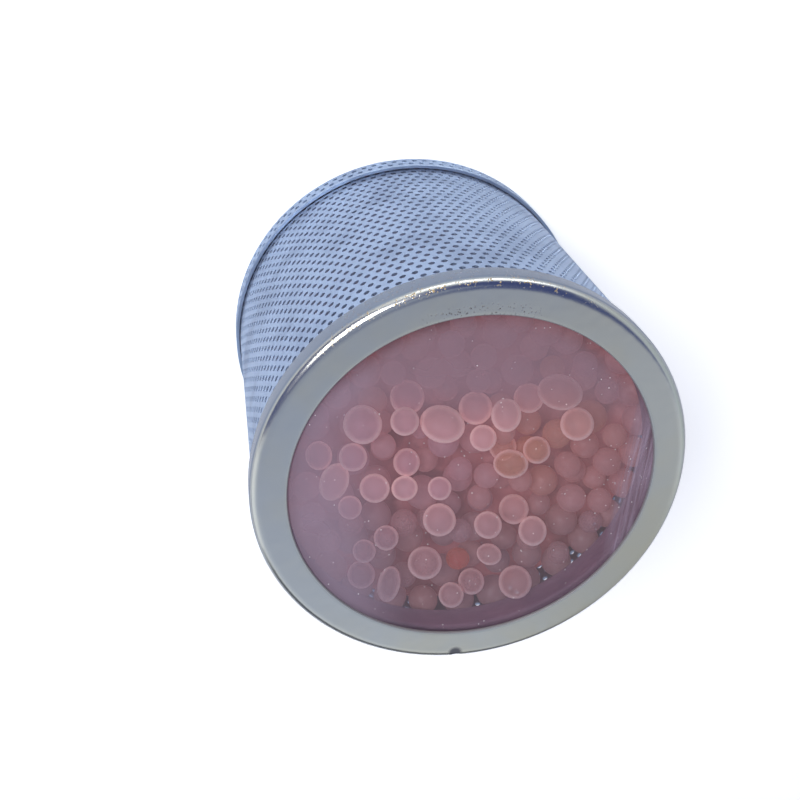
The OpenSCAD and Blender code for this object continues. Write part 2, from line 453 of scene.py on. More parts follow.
@dataclass(frozen=True)
class Steel(Finish):
    """Bare sheet steel with rolled lines, smudges, a soft shine and perhaps painted shade at its
    lower end.
    """

    name: str
    colour: Colour
    stain: Colour
    roughness: float = 0.36
    grain: Grain = Grain.ALONG
    streaks: float = 0.25
    line_depth: float = 0.004 * MM
    metallic: float = 0.92
    # Heights over which painted shade darkens the steel, as on the tube just above the rear cap's
    # edge.
    foot_shade_z: Point | None = None
    foot_shade: Colour = (0.16, 0.19, 0.27)
    # Inside this radius the steel turns dark and pinkish: partly dust from the beads, partly
    # painted shade inside the can.
    inner_r: float = 0.0
    inner_fade: float = 0.05 * MM
    dusty: Colour = (0.20, 0.17, 0.22)
    # A glow of the steel's own that stands for light on shaded steel: painted light.
    glow: Colour = BLACK

    def shader(self, tree: NodeTree) -> Value:
        """Builds the finish's nodes.

        Args:
            tree: Empty node tree of the new material.

        Returns:
            The finish's shader.
        """
        place = tree.place()
        height = tree.axes(place)[2]
        across = tree.scaled(place, (1.0, 1.0, 0.03))
        if self.grain is Grain.ROUND:
            across = tree.joined(tree.angle() * (0.02 * MM), tree.away(), height)
        lines = tree.noise(across, 0.09 * MM, 3.0)
        smudge = tree.noise(place, 7 * MM, 4.0)
        fine = tree.noise(place, 0.25 * MM, 2.0)
        shade = lines.smooth(0.30, 0.70)
        coats = [(smudge.smooth(0.40, 0.72), self.stain), (shade * self.streaks, self.stain)]
        # Painted shade at the lower end, uneven with the smudges.
        if self.foot_shade_z:
            coats.append((height.smooth(*self.foot_shade_z) * (0.6 + smudge * 0.4), self.foot_shade))
        # Dark inner side: partly dust, partly painted shade.
        if self.inner_r:
            ends = (self.inner_r + self.inner_fade, self.inner_r - self.inner_fade)
            coats.append((tree.away().smooth(*ends) * 0.9, self.dusty))
        inputs = {
            "Base Color": tree.layers(self.colour, *coats),
            "Metallic": self.metallic,
            "Roughness": self.roughness + smudge * 0.12 + shade * 0.08 - 0.06,
            "Normal": tree.bump(lines * 0.7 + fine * 0.3, self.line_depth * 4),
        }
        # Painted light: a faint glow that lifts shaded steel.
        if self.glow != BLACK:
            inputs["Emission Color"] = tree.mix(shade * 0.5, self.glow, BLACK)
            inputs["Emission Strength"] = 1.0
        return tree.principled(inputs)


@dataclass(frozen=True)
class ClearSheet(Finish):
    """Clear plastic that lets lamps through, with a thin haze, partly a painted veil of reflected
    light, and a few grains of dust.
    """

    name: str = "clear_window"
    tint: Colour = (0.885, 0.875, 0.895)
    # Colours of the haze, which is partly a painted veil of reflected light: warmer over the orange
    # beads, paler at the sides.
    film: Colour = (0.35, 0.21, 0.26)
    warm_film: Colour = (0.38, 0.20, 0.19)
    warm_at: Point = (10 * MM, 1 * MM)
    warm_span: Point = (15 * MM, 3 * MM)
    pale_film: Colour = (0.46, 0.35, 0.46)
    dust: Colour = (0.95, 0.92, 0.90)
    roughness: float = 0.05
    gloss: float = 0.04
    # How strong the haze is: a painted veil of reflected light over a thin haze, thickest at the
    # top, on the left and in streaks at the right.
    haze: float = 0.34
    side_haze: float = 0.31
    streaks: float = 0.44
    least: float = 0.06
    haze_span: Point = (7 * MM, 15 * MM)
    left_span: Point = (-8 * MM, -18 * MM)
    # Across these radii the haze fades out towards the rim: painted shadow of the face ring.
    rim_span: Point = (22.5 * MM, 19.9 * MM)
    dusty: Point = (20 * MM, 1 * MM)
    dusty_span: Point = (8 * MM, 2 * MM)
    streaky_span: Point = (18.6 * MM, 20.1 * MM)
    streaky_reach: Point = (15 * MM, 9 * MM)

    def shader(self, tree: NodeTree) -> Value:
        """Builds the finish's nodes.

        Args:
            tree: Empty node tree of the new material.

        Returns:
            The finish's shader.
        """
        place = tree.place()
        x, y, _ = tree.axes(place)
        # Painted veil of reflected light over a thin haze: thickest at the top, on the left and in
        # pale streaks at the right.
        upwards = y.smooth(*self.haze_span)
        leftwards = (x * 0.9 + y * 0.2).smooth(*self.left_span)
        cloud = tree.noise(place, 9 * MM, 2.0) * 0.7 + 0.65
        # Painted shadow of the face ring: the top haze thins towards the rim.
        inside = tree.away().smooth(*self.rim_span)
        lines = tree.noise(tree.scaled(place, (1.0, 0.05, 1.0)), 0.45 * MM, 2.0)
        streaky = x.smooth(*self.streaky_span) * abs(y).smooth(*self.streaky_reach)
        streaky = streaky * lines.smooth(0.25, 0.75)
        beside = leftwards * self.side_haze + streaky * self.streaks
        film = cloud * (upwards * inside * self.haze + beside + self.least)
        near_dust = tree.away(self.dusty).smooth(*self.dusty_span)
        some = tree.noise(place, 3 * MM, 0.0) + near_dust * 0.3
        grains = tree.dots(place, 0.9 * MM).smooth(0.11, 0.06) * some.smooth(0.53, 0.62)
        dull = film.math("MAXIMUM", film, grains * 0.8)
        facing = tree.facing()
        mirror = facing.math("POWER", facing, 5.0) * 0.96 + self.gloss
        share = dull + mirror
        # Colour of the haze: warmer over the orange beads, which is painted light, paler in the
        # side veil and white at the dust grains.
        dirt = tree.layers(
            self.film,
            (tree.away(self.warm_at).smooth(*self.warm_span), self.warm_film),
            (beside / (beside + 0.1), self.pale_film),
            (grains, self.dust),
        )
        gloss = tree.principled(
            {
                "Base Color": tree.mix(dull / share, WHITE, dirt),
                "Metallic": mirror / share,
                "Roughness": self.roughness + dull * 0.5,
            }
        )
        clear = tree.node("ShaderNodeBsdfTransparent", inputs={0: (*self.tint, 1.0)})
        return tree.node("ShaderNodeMixShader", inputs={0: share, 1: clear, 2: gloss})


@dataclass(frozen=True)
class GelBead(Finish):
    """Translucent silica gel, from mauve pink to orange, with painted light and shade and a paler
    rim of painted sheen.
    """

    name: str
    mauve: Colour = (0.55, 0.35, 0.48)
    salmon: Colour = (0.74, 0.41, 0.41)
    orange: Colour = (0.52, 0.26, 0.15)
    red: Colour = (0.62, 0.05, 0.05)
    # Paler colour for glowing beads, which is painted light, and for a random veil.
    pale: Colour = (0.92, 0.70, 0.72)
    # Colour of the paler rim, mixed in where the surface turns from the eye: painted sheen.
    rim_sheen_colour: Colour = (1.0, 0.82, 0.78)
    # Emission colours: a glow that stands for light scattered through the heap, which is painted
    # light.
    inner: Colour = (0.120, 0.050, 0.066)
    inner_warm: Colour = (0.135, 0.042, 0.022)
    lit: Colour = (0.25, 0.135, 0.115)
    # Colour to which the beads darken towards -y: painted shade.
    shade_colour: Colour = (0.20, 0.21, 0.19)
    speck: Colour = (0.9, 0.75, 0.7)
    lit_from: Point = (-13 * MM, -2 * MM)
    body: float = 0.48
    rim: float = 0.60
    rim_sheen_share: float = 0.0
    rim_span: Point = (0.22, 0.68)
    sheen: float = 0.0
    sheen_roughness: float = 0.25
    sheen_tint: Colour = (1.0, 0.80, 0.78)
    roughness: float = 0.30
    ior: float = 1.35

    def shader(self, tree: NodeTree) -> Value:
        """Builds the finish's nodes.

        Args:
            tree: Empty node tree of the new material.

        Returns:
            The finish's shader.
        """
        place = tree.place()
        tone, glow = tree.attribute("tone"), tree.attribute("glow")
        veil = tree.noise(place, 1.6 * MM, 3.0)
        specks = tree.dots(place, 0.6 * MM).smooth(0.12, 0.05)
        specks = specks * tree.noise(place, 1.2 * MM, 0.0).smooth(0.56, 0.66)
        stops = [(0.0, self.mauve), (0.42, self.salmon), (0.85, self.orange), (1.0, self.red)]
        # Painted light and shade: beads darken towards -y, the orange ones less.
        light = tree.axes(place)[1].smooth(*self.lit_from)
        dusk = (1.0 - light) * (1.0 - tone)
        rim = tree.facing().smooth(*self.rim_span)
        colour = tree.layers(
            tree.node("ShaderNodeValToRGB", {"stops": stops}, {0: tone}),
            # Paler where a bead glows, which is painted light, and in a random veil.
            (glow * 0.25 + veil.smooth(0.45, 0.8) * 0.2, self.pale),
            (dusk * 0.5, self.shade_colour),
            (specks * 0.6, self.speck),
            # Paler rim: painted sheen.
            (rim * self.rim_sheen_share, self.rim_sheen_colour),
        )
        # Glow of painted light: warmer in orange beads, weaker towards -y, stronger on glowing
        # beads.
        inner = tree.layers(
            self.inner,
            (tone, self.inner_warm),
            (dusk * 0.45, BLACK),
            (glow * light * (1.0 - tone * 0.7), self.lit),
        )
        return tree.principled(
            {
                "Base Color": colour,
                "Roughness": self.roughness + veil * 0.15,
                "Alpha": self.body + rim * (self.rim - self.body),
                "Sheen Weight": self.sheen,
                "Sheen Roughness": self.sheen_roughness,
                "Sheen Tint": (*self.sheen_tint, 1.0),
                "IOR": self.ior,
                "Emission Color": inner,
                "Emission Strength": 1.0,
                "Normal": tree.bump(veil, 0.02 * MM),
            }
        )


@dataclass(frozen=True)
class PackedGel(Finish):
    """The same gel packed in the can, dark with depth between its beads, with painted shade in soft
    patches and a faint glow of painted light.
    """

    name: str = "packed_gel"
    colour: Colour = (0.40, 0.17, 0.17)
    shade_colour: Colour = (0.24, 0.09, 0.10)
    # Glow colour: painted light inside the heap.
    inner: Colour = (0.135, 0.045, 0.048)

    def shader(self, tree: NodeTree) -> Value:
        """Builds the finish's nodes.

        Args:
            tree: Empty node tree of the new material.

        Returns:
            The finish's shader.
        """
        place = tree.place()
        cloud = tree.noise(place, 4 * MM, 3.0)
        shade = cloud.smooth(0.35, 0.70)
        return tree.principled(
            {
                # Painted shade in soft patches.
                "Base Color": tree.mix(shade, self.colour, self.shade_colour),
                "Roughness": 0.45 + cloud * 0.2,
                # A faint glow, less in the patches: painted light.
                "Emission Color": tree.mix(shade * 0.4, self.inner, BLACK),
                "Emission Strength": 1.0,
                "Normal": tree.bump(tree.noise(place, 0.8 * MM, 2.0), 0.05 * MM),
            }
        )


@dataclass(frozen=True)
class PaleFloor(Finish):
    """White studio floor that keeps the cartridge's soft shadow."""

    name: str = "studio_floor"
    colour: Colour = (0.82, 0.82, 0.83)
    mottle: Colour = (0.76, 0.76, 0.78)
    glow: float = 0.52

    def shader(self, tree: NodeTree) -> Value:
        """Builds the finish's nodes.

        Args:
            tree: Empty node tree of the new material.

        Returns:
            The finish's shader.
        """
        paper = tree.noise(tree.place(), 30 * MM, 3.0)
        return tree.principled(
            {
                "Base Color": tree.mix(paper * 0.08, self.colour, self.mottle),
                "Roughness": 0.8,
                "Emission Color": tree.mix(tree.looked_at(), BLACK, WHITE),
                "Emission Strength": self.glow,
            }
        )


# Mesh making


def arc(centre: Point, radius: float, start: float, end: float, steps: int = 8) -> list[Point]:
    """Points along an arc of an outline.

    Args:
        centre: Distance from the axis and height of its centre.
        radius: Its radius.
        start: Angle of its first point in degrees, 0 pointing away from the axis.
        end: Angle of its last point.
        steps: Into how many pieces it is cut.

    Returns:
        The points, both ends with them.
    """
    turns = (math.radians(start + (end - start) * i / steps) for i in range(steps + 1))
    return [(centre[0] + radius * math.cos(t), centre[1] + radius * math.sin(t)) for t in turns]


def even_angles(count: int) -> list[float]:
    """Angles in radians at even steps round the axis."""
    return [math.tau * i / count for i in range(count)]


@dataclass
class Shape:
    """Points and faces of one piece while it is made."""

    points: list[Triple] = field(default_factory=list)
    faces: Faces = field(default_factory=list)

    def add(self, points: Iterable[Sequence[float]], faces: Iterable[Sequence[int]]) -> None:
        """Adds points and the faces that count from the first of them.

        Args:
            points: New points.
            faces: New faces.
        """
        first = len(self.points)
        self.points += [tuple(p) for p in points]
        self.faces += [tuple(first + i for i in face) for face in faces]

    def lathe(self, outline: Sequence[Point], angles: Sequence[float], closed: bool = True) -> None:
        """Turns an outline about the axis.

        Args:
            outline: Distances from the axis and heights.
            angles: Angles at which the outline is set, in radians.
            closed: Whether the outline's last point joins its first.
        """
        n = len(outline)
        spans = n if closed else n - 1
        points = [(r * math.cos(a), r * math.sin(a), z) for a in angles for r, z in outline]
        faces = []
        for i in range(len(angles)):
            here, there = i * n, (i + 1) % len(angles) * n
            for j in range(spans):
                k = (j + 1) % n
                faces.append((here + j, here + k, there + k, there + j))
        self.add(points, faces)

    def piece(
        self, name: str, finish: Finish, node: str, sharp: float = 38.0, weld: float = 0.002 * MM
    ) -> bpy.types.Object:
        """Makes the piece, dresses it and sets it in place of its node.

        Args:
            name: Name of the piece.
            finish: Its finish.
            node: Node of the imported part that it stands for.
            sharp: Edges bent by more degrees than this stay sharp.
            weld: Points closer than this become one.

        Returns:
            The new object.
        """
        mesh = bpy.data.meshes.new(name)
        mesh.from_pydata(self.points, [], self.faces)
        if weld > 0:
            work = bmesh.new()
            work.from_mesh(mesh)
            bmesh.ops.remove_doubles(work, verts=work.verts, dist=weld)
            bmesh.ops.recalc_face_normals(work, faces=work.faces)
            if work.calc_volume(signed=True) < 0:
                bmesh.ops.reverse_faces(work, faces=work.faces)
            work.to_mesh(mesh)
            work.free()
        mesh.shade_smooth()
        mesh.set_sharp_from_angle(angle=math.radians(sharp))
        mesh.materials.append(finish.material())
        piece = bpy.data.objects.new(name, mesh)
        bpy.context.scene.collection.objects.link(piece)
        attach(piece, "root")
        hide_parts(node)
        return piece


def report(piece: bpy.types.Object) -> None:
    """Logs a piece's name and its number of triangles."""
    triangles = sum(len(p.vertices) - 2 for p in piece.data.polygons)
    log.info("%s: %d triangles", piece.name, triangles)


# Sub-assemblies


class TurnedPart(ABC):
    """A part turned about the axis from one outline, in place of its node."""

    node: str
    piece: str
    finish: Finish
    sharp: float = 50.0
    closed: bool = True

    @abstractmethod
    def outline(self) -> list[Point]:
        """Outline of the part's section."""

    @abstractmethod
    def angles(self) -> list[float]:
        """Angles round the axis at which the outline is set."""

    def stamp(self, points: list[Triple]) -> None:
        """Presses marks into the turned points, where the part has any."""

    def build(self) -> Iterable[bpy.types.Object]:
        """Makes the part.

        Yields:
            The dressed piece.
        """
        shape = Shape()
        shape.lathe(self.outline(), self.angles(), self.closed)
        self.stamp(shape.points)
        yield shape.piece(self.piece, self.finish, self.node, self.sharp)


@dataclass
class FrontCap(TurnedPart):
    """Pressed ring cap with a flat face, a rounded edge, a short skirt and one stake mark."""

    node: str = "front_cap"
    piece: str = "ring_cap"
    sheet: float = 0.4 * MM
    face_ring: float = 4.4 * MM
    corner: float = 1.1 * MM
    roll: float = 3.2 * MM
    roll_to: float = 81.0
    cut_edge: float = 0.09 * MM
    stake_angle: float = 272.0
    stake_d: float = 1.4 * MM
    stake_depth: float = 0.2 * MM
    close_half: float = 2.6
    close_cuts: int = 36
    wide_cuts: int = 380
    finish: Finish = Tinplate()

    def outline(self) -> list[Point]:
        """Closed outline of the sheet, from the opening's edge outwards and back inside.

        Returns:
            Distances from the axis and heights.
        """
        low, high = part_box(self.node)
        radius, top, foot = high.x, high.z, low.z
        opening, edge, bend = radius - self.face_ring, self.cut_edge, radius - self.corner
        flat = [opening + (bend - opening) * i / 6 for i in range(1, 6)]
        tilt = math.radians(self.roll_to)
        ease = (self.roll - self.corner) * math.cos(tilt)
        drop = self.roll - (self.roll - self.corner) * math.sin(tilt)
        points = arc((opening + edge, top - edge), edge, 180, 90, 4)
        points += [(r, top) for r in flat]
        points += arc((bend - ease, top - self.roll), self.roll, 90, self.roll_to, 6)
        points += arc((bend, top - drop), self.corner, self.roll_to, 0, 14)[1:]
        points += arc((radius - edge, foot + edge), edge, 0, -90, 4)
        points += arc((radius - self.sheet + edge, foot + edge), edge, -90, -180, 4)
        points += arc((bend, top - self.corner), self.corner - self.sheet, 0, 90, 8)
        points += [(r, top - self.sheet) for r in reversed(flat)]
        points += arc((opening + edge, top - self.sheet + edge), edge, 270, 180, 4)
        return points

    def angles(self) -> list[float]:
        """Angles round the cap, close together at the stake mark.

        Returns:
            The angles in radians.
        """
        middle, half = math.radians(self.stake_angle), math.radians(self.close_half)
        close = [2 * half * i / self.close_cuts - half for i in range(self.close_cuts + 1)]
        gap = (math.tau - 2 * half) / self.wide_cuts
        wide = [half + gap * i for i in range(1, self.wide_cuts)]
        return [middle + turn for turn in close + wide]

    def stamp(self, points: list[Triple]) -> None:
        """Pushes the points of the stake mark in, as a ball would.

        Args:
            points: Points of the cap, which are changed.
        """
        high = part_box(self.node)[1]
        half = self.stake_d / 2
        ball = (half**2 + self.stake_depth**2) / (2 * self.stake_depth)
        reach = (self.corner + ball - self.stake_depth) * math.sqrt(0.5)
        out = high.x - self.corner + reach
        angle = math.radians(self.stake_angle)
        lift = high.z - self.corner + reach
        centre = Vector((out * math.cos(angle), out * math.sin(angle), lift))
        for i, point in enumerate(points):
            away = Vector(point) - centre
            if away.length < ball:
                points[i] = tuple(centre + away.normalized() * ball)


@dataclass
class Window(TurnedPart):
    """Clear disc behind the face ring."""

    node: str = "window"
    piece: str = "window_disc"
    sharp: float = 30.0
    closed: bool = False
    bevel: float = 0.12 * MM
    gap: float = 0.01 * MM
    rings: Point = (0.5, 0.92)
    cuts: int = 192
    finish: Finish = ClearSheet()

    def angles(self) -> list[float]:
        """Even angles round the disc."""
        return even_angles(self.cuts)

    def outline(self) -> list[Point]:
        """Outline from the middle of the lower side round to that of the upper side.

        Returns:
            Distances from the axis and heights.
        """
        low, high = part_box(self.node)
        rim, foot = high.x - self.bevel, low.z + self.gap
        flat = [0.0, *(rim * share for share in self.rings)]
        points = [(r, foot) for r in flat]
        points += arc((rim, foot + self.bevel), self.bevel, -90, 0, 3)
        points += arc((rim, high.z - self.bevel), self.bevel, 0, 90, 3)
        return points + [(r, high.z) for r in reversed(flat)]


@dataclass
class Retainer(TurnedPart):
    """Pressed channel ring: its web backs the window and its collar fences the beads."""

    node: str = "window_retainer"
    piece: str = "retainer_ring"
    sheet: float = 0.4 * MM
    collar_r: float = 23.1 * MM
    grip: float = 2.6 * MM
    bend: float = 0.5 * MM
    cut_edge: float = 0.1 * MM
    cuts: int = 256
    # Dark purple steel with a faint glow: painted shade in the channel under the face ring, and
    # painted pink light from the beads.
    finish: Finish = Steel(
        "retainer_steel_painted_light_and_shade",
        (0.26, 0.13, 0.18),
        (0.17, 0.08, 0.13),
        0.55,
        Grain.ROUND,
        streaks=0.6,
        line_depth=0.008 * MM,
        metallic=0.05,
        glow=(0.045, 0.028, 0.048),
    )

    def outline(self) -> list[Point]:
        """Closed outline of the channel, from the collar's free edge round and back.

        Returns:
            Distances from the axis and heights.
        """
        low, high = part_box(self.node)
        outer, top, foot = high.x, high.z, low.z
        sheet, bend, edge, inner = self.sheet, self.bend, self.cut_edge, self.collar_r
        points = arc((inner + edge, foot + edge), edge, 270, 180, 4)
        points += [(inner, foot + (top - bend - foot) * i / 5) for i in range(1, 5)]
        points += arc((inner + bend, top - bend), bend, 180, 90, 8)
        points += arc((outer - bend, top - bend), bend, 90, 0, 8)
        points += arc((outer - edge, top - self.grip + edge), edge, 0, -90, 4)
        points += arc((outer - sheet + edge, top - self.grip + edge), edge, -90, -180, 4)
        points += arc((outer - bend, top - bend), bend - sheet, 0, 90, 4)
        points += arc((inner + bend, top - bend), bend - sheet, 90, 180, 4)
        points += arc((inner + sheet - edge, foot + edge), edge, 0, -90, 4)
        return points

    def angles(self) -> list[float]:
        """Even angles round the ring."""
        return even_angles(self.cuts)


@dataclass(frozen=True)
class PunchedSheet:
    """Sheet with a staggered grid of round holes, each in a six-sided cell."""

    columns: int = 112
    row: float = 1.366 * MM
    pitch: float = 1.487 * MM
    hole_r: float = 0.4 * MM
    sides: int = 10
    edge: float = 0.06 * MM

    def hole(self, x: float, y: float) -> list[Point]:
        """Corners of a hole round a middle."""
        turns = (math.tau * (i + 0.5) / self.sides for i in range(self.sides))
        return [(x + self.hole_r * math.cos(t), y + self.hole_r * math.sin(t)) for t in turns]

    def cell_faces(self, near: float, far: float, half: float) -> Faces:
        """Triangles between a cell's border and its hole.

        Args:
            near: Height of the border's side corners above the cell's middle.
            far: Height of its end corners.
            half: Half the cell's width.

        Returns:
            Triangles whose indices below 6 are the border's corners and the rest the hole's.
        """
        border = [(-half, -near), (0, -far), (half, -near), (half, near), (0, far), (-half, near)]
        rings = (border, self.hole(0.0, 0.0))
        turned = []
        for first, ring in zip((0, 6), rings):
            angles = [math.atan2(y, x) % math.tau for x, y in ring]
            turned.append(sorted((a, first + i) for i, a in enumerate(angles)))
        outer, inner = ([*ring, (ring[0][0] + math.tau, ring[0][1])] for ring in turned)
        faces, o, i = [], 0, 0
        while o < len(outer) - 1 or i < len(inner) - 1:
            step_out = i == len(inner) - 1 or (
                o < len(outer) - 1 and outer[o + 1][0] <= inner[i + 1][0]
            )
            if step_out:
                faces.append((outer[o][1], outer[o + 1][1], inner[i][1]))
                o += 1
            else:
                faces.append((outer[o][1], inner[i + 1][1], inner[i][1]))
                i += 1
        return faces

    def wall(
        self,
        radius: float,
        sheet: float,
        span: Point,
        first_row: float,
        rows: int,
        punched: Callable[[int], bool] = lambda column: True,
        moved: Mapping[int, Point] | None = None,
        foot: bool = True,
    ) -> Shape:
        """A rolled wall, its inner and outer side joined through every hole.

        Args:
            radius: Outer radius of the wall.
            sheet: Its thickness.
            span: Heights of its lower and upper edge.
            first_row: Height of the lowest row of holes.
            rows: Number of rows.
            punched: Whether the cell at a half column has its hole.
            moved: Half columns moved round the wall and inwards, both in metres.
            foot: Whether the lower edge is closed.

        Returns:
            The wall's points and faces.
        """
        moved = moved or {}
        count = 2 * self.columns
        step = math.tau / count
        half = step * radius
        near = (self.row**2 - half**2) / (2 * self.row)
        far = self.row - near
        low, high = span
        flat = [(k, low + self.edge * foot) for k in range(count)]
        for chain in range(rows + 1):
            middle = first_row + chain * self.row
            flat += [(k, middle - (far if (k - chain) % 2 == 0 else near)) for k in range(count)]
        flat += [(k, high - self.edge) for k in range(count)]
        faces: Faces = []
        for line in (0, rows + 1):
            for k in range(count):
                a, b = line * count + k, line * count + (k + 1) % count
                faces.append((a, b, b + count, a + count))
        pattern = self.cell_faces(near, far, half)
        rims: list[list[int]] = []
        for r in range(rows):
            below, above = (r + 1) * count, (r + 2) * count
            for middle in range(r % 2, count, 2):
                left, right = (middle - 1) % count, (middle + 1) % count
                border = [below + left, below + middle, below + right]
                border += [above + right, above + middle, above + left]
                if not punched(middle):
                    faces.append((border[0], border[1], border[4], border[5]))
                    faces.append((border[1], border[2], border[3], border[4]))
                    continue
                start = len(flat)
                place = (middle, first_row + r * self.row)
                flat += [(place[0] + x / half, place[1] + y) for x, y in self.hole(0.0, 0.0)]
                corners = [*border, *range(start, start + self.sides)]
                faces += [tuple(corners[i] for i in face) for face in pattern]
                rims.append(corners[6:])
        shape = Shape()
        n = len(flat)
        both = []
        for depth in (0.0, sheet):
            for k, z in flat:
                shift, inset = moved.get(k, (0.0, 0.0))
                grooved = depth == 0.0 and flat[0][1] < z < high - self.edge
                turn, r = step * k + shift / radius, radius - depth - inset * grooved
                both.append((r * math.cos(turn), r * math.sin(turn), z))
        walls = [(b, a, a + n, b + n) for a, b in self.edges_of(rims)]
        inner = [tuple(n + i for i in reversed(face)) for face in faces]
        shape.add(both, [*faces, *inner, *walls])
        angles = [step * k + moved.get(k, (0.0, 0.0))[0] / radius for k in range(count)]
        top = [(radius, high - self.edge), (radius - self.edge, high)]
        top += [(radius - sheet + self.edge, high), (radius - sheet, high - self.edge)]
        shape.lathe(top, angles, closed=False)
        if foot:
            shape.lathe([(r, low + high - z) for r, z in top], angles, closed=False)
        return shape

    @staticmethod
    def edges_of(rims: Sequence[Sequence[int]]) -> list[tuple[int, int]]:
        """Pairs of neighbouring corners round each rim."""
        return [pair for rim in rims for pair in zip(rim, [*rim[1:], rim[0]])]

    def disc(self, radius: float, margin: float, heights: Point) -> Shape:
        """A flat punched disc with as many border points as a wall.

        Args:
            radius: Radius of its border.
            margin: Plain width inside the border.
            heights: Heights of its lower and upper side.

        Returns:
            Its points and faces, open at the border.
        """
        count = 2 * self.columns
        flat = [(radius * math.cos(a), radius * math.sin(a)) for a in even_angles(count)]
        rims = [list(range(count))]
        reach = int(radius / self.row) + 1
        for row in range(-reach, reach + 1):
            for column in range(-reach, reach + 1):
                x, y = (column + row % 2 / 2) * self.pitch, row * self.row
                if math.hypot(x, y) <= radius - margin - self.hole_r:
                    rims.append(list(range(len(flat), len(flat) + self.sides)))
                    flat += self.hole(x, y)
        owner = {i: number for number, rim in enumerate(rims) for i in rim}
        corners = [Vector(p) for p in flat]
        cut = delaunay_2d_cdt(corners, self.edges_of(rims), [], WHOLE_HULL, CLOSE)
        cells, origins = cut[2:4]
        faces = []
        for cell in cells:
            face = tuple(origins[i][0] for i in cell)
            owners = {owner[i] for i in face}
            if len(owners) > 1 or owners == {0}:
                faces.append(face)
        n = len(flat)
        points = [(x, y, z) for z in heights for x, y in flat]
        upper = [tuple(n + i for i in reversed(face)) for face in faces]
        walls = [(a, b, b + n, a + n) for a, b in self.edges_of(rims[1:])]
        shape = Shape()
        shape.add(points, [*faces, *upper, *walls])
        return shape


@dataclass
class PerforatedTube:
    """Rolled perforated sheet with a plain strip and a fine groove at its butt seam."""

    node: str = "perforated_tube"
    cap: FrontCap = field(default_factory=FrontCap)
    slip_fit: float = 0.1 * MM
    sheet: float = 0.5 * MM
    top_row_depth: float = 3.46 * MM
    seam_angle: float = 270.0
    seam_strip: float = 4.0 * MM
    groove_w: float = 0.2 * MM
    groove_depth: float = 0.15 * MM
    grid: PunchedSheet = PunchedSheet()
    finish: Finish = Steel(
        "tube_steel",
        (0.51, 0.64, 0.83),
        (0.38, 0.48, 0.645),
        0.38,
        # Painted shade on the tube just above the rear cap's edge.
        foot_shade_z=(6.9 * MM, 5.3 * MM),
        inner_r=26.2 * MM,
    )

    def build(self) -> Iterable[bpy.types.Object]:
        """Makes the tube.

        Yields:
            The dressed piece.
        """
        grid = self.grid
        cap_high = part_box(self.cap.node)[1]
        low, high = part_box(self.node)
        skirt_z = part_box("rear_cap")[1].z
        radius = cap_high.x - self.cap.sheet - self.slip_fit
        half = math.pi * radius / grid.columns
        seam = round(self.seam_angle / 360 * 2 * grid.columns)
        strip = (self.seam_strip / 2 + grid.hole_r) / half
        top_row = cap_high.z - self.top_row_depth
        rows = int((top_row - skirt_z + grid.hole_r) / grid.row) + 1
        shift = half - self.groove_w / 2
        moved = {seam - 1: (shift, 0.0), seam: (0.0, self.groove_depth), seam + 1: (-shift, 0.0)}
        shape = grid.wall(
            radius,
            self.sheet,
            (low.z, high.z),
            top_row - (rows - 1) * grid.row,
            rows,
            lambda column: abs(column - seam) > strip,
            moved,
        )
        yield shape.piece("perforated_wall", self.finish, self.node)


@dataclass
class RearCap:
    """Shallow cup of the same perforated sheet, pushed over the tube's rear end."""

    node: str = "rear_cap"
    sheet: float = 0.5 * MM
    corner: float = 1.0 * MM
    rows: int = 2
    first_row: float = 1.9 * MM
    end_margin: float = 0.3 * MM
    grid: PunchedSheet = PunchedSheet()
    # Slightly lighter than the tube's steel, though of the same sheet: painted light.
    finish: Finish = Steel("rear_cap_steel", (0.55, 0.68, 0.86), (0.41, 0.51, 0.66), 0.40)

    def build(self) -> Iterable[bpy.types.Object]:
        """Makes the cup.

        Yields:
            The dressed piece.
        """
        low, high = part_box(self.node)
        radius, corner = high.x, self.corner
        bend = (radius - corner, low.z + corner)
        span = (bend[1], high.z)
        shape = self.grid.wall(radius, self.sheet, span, self.first_row, self.rows, foot=False)
        angles = even_angles(2 * self.grid.columns)
        for bend_r in (corner, corner - self.sheet):
            shape.lathe(arc(bend, bend_r, 0, -90, 8), angles, closed=False)
        end = self.grid.disc(bend[0], self.end_margin, (low.z, low.z + self.sheet))
        shape.add(end.points, end.faces)
        yield shape.piece("rear_cup", self.finish, self.node)


@dataclass(frozen=True)
class Sight:
    """The photograph's view of the standing cartridge."""

    eye: Triple = (-32.58 * MM, 65.63 * MM, 148.44 * MM)
    tilt_x: float = 28.22
    tilt_y: float = 11.09
    lens: float = 45.93
    nearest: float = 10 * MM

    def turn(self) -> Matrix:
        """The camera's axes as a matrix: right, up and back in the part's frame."""
        return Matrix.Rotation(math.radians(self.tilt_x), 3, "X").inverted() @ Matrix.Rotation(
            math.radians(self.tilt_y), 3, "Y"
        ).inverted()

    def slide(self, place: Sequence[float], height: float) -> Point:
        """Where the line of sight through a place meets another height.

        Args:
            place: Place in the part's frame.
            height: The other height.

        Returns:
            The x and y there.
        """
        x, y, z = self.eye
        share = (z - height) / (z - place[2])
        return x + (place[0] - x) * share, y + (place[1] - y) * share


@dataclass(frozen=True)
class SeenBead:
    """A bead that stands out in the photograph, in millimetres on a plane behind the face."""

    x: float
    y: float
    width: float
    length: float
    turn: float = 0.0
    tone: float = 0.25
    # How much painted light the bead takes.
    glow: float = 0.4


@dataclass(frozen=True)
class Bead:
    """A bead in its place: middle, half axes, turn about the upright, its colour and its painted
    light.
    """

    middle: Triple
    half: Triple
    turn: float
    tone: float
    glow: float


